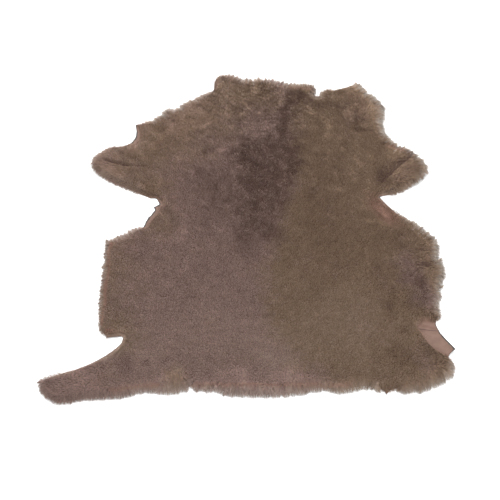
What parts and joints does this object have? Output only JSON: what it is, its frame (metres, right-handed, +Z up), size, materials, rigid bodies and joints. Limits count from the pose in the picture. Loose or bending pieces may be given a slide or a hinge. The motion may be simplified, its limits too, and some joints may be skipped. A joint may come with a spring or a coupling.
{
  "type": "sheepskin",
  "caption": "Whole shorn sheepskin lying wool side up, with an uneven outline of neck, legs and rump, dense short wool and small patches of bare leather at its edge.",
  "frame": {"origin": "the middle of the footprint, on the surface that the skin lies on", "axes": "+Z up from the surface to the wool side, +Y from the rump to the neck, +X to the right with the neck pointing away"},
  "size_m": [0.9992, 1.0124, 0.0251],
  "materials": {
    "wool": "dense shorn wool dyed taupe, matt"
  },
  "bodies": {
    "root": {"sheepskin": "wool"}
  },
  "joints": []
}
